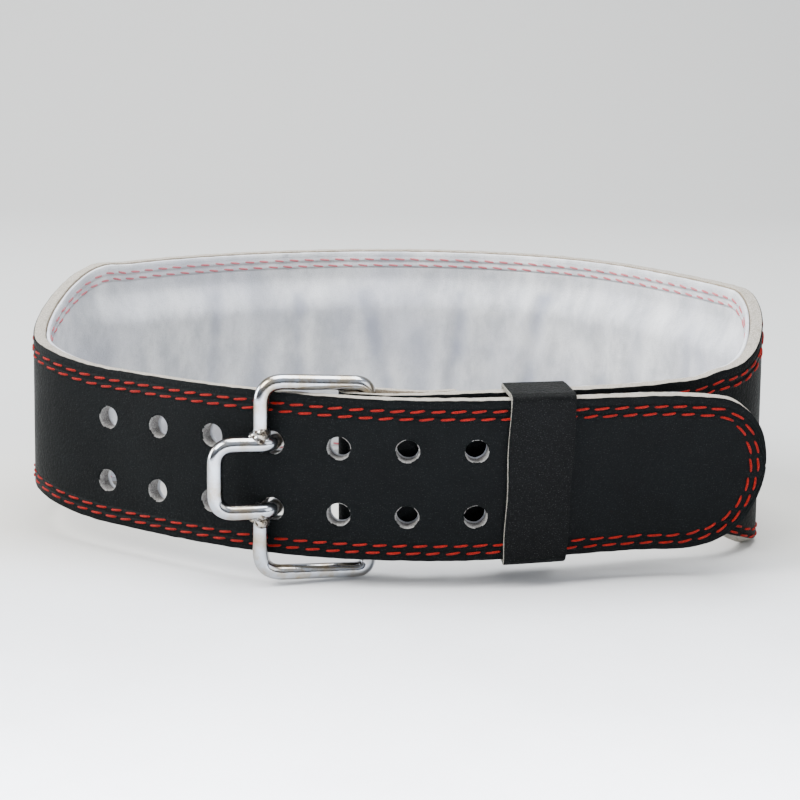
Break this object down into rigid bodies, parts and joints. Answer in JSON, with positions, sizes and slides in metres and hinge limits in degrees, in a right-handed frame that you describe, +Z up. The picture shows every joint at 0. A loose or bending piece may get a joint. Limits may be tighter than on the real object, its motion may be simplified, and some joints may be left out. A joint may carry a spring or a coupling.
{
  "type": "weightlifting belt",
  "caption": "Black leather weightlifting belt with red stitching, pale suede lining, welded wire buckle hooked into its prong holes, and a keeper loop",
  "frame": {"origin": "middle of the belt's box in plan, on the surface it stands on", "axes": "+X along the fastened front to the viewer's right, +Y from the buckle to the back, +Z up"},
  "size_m": [0.303, 0.1926, 0.1025],
  "materials": {
    "black_leather": "fine pebble grain, half gloss, pale raw edges, red stitching",
    "pale_suede": "brushed suede, matt, over a foam pad at the back",
    "polished_steel": "polished wire with dark weld beads",
    "keeper_leather": "fine pebble grain, half gloss, pale raw edges"
  },
  "bodies": {
    "root": {"belt_leather": "black_leather", "suede_lining": "pale_suede", "buckle": "polished_steel", "keeper_loop": "keeper_leather"}
  },
  "joints": []
}
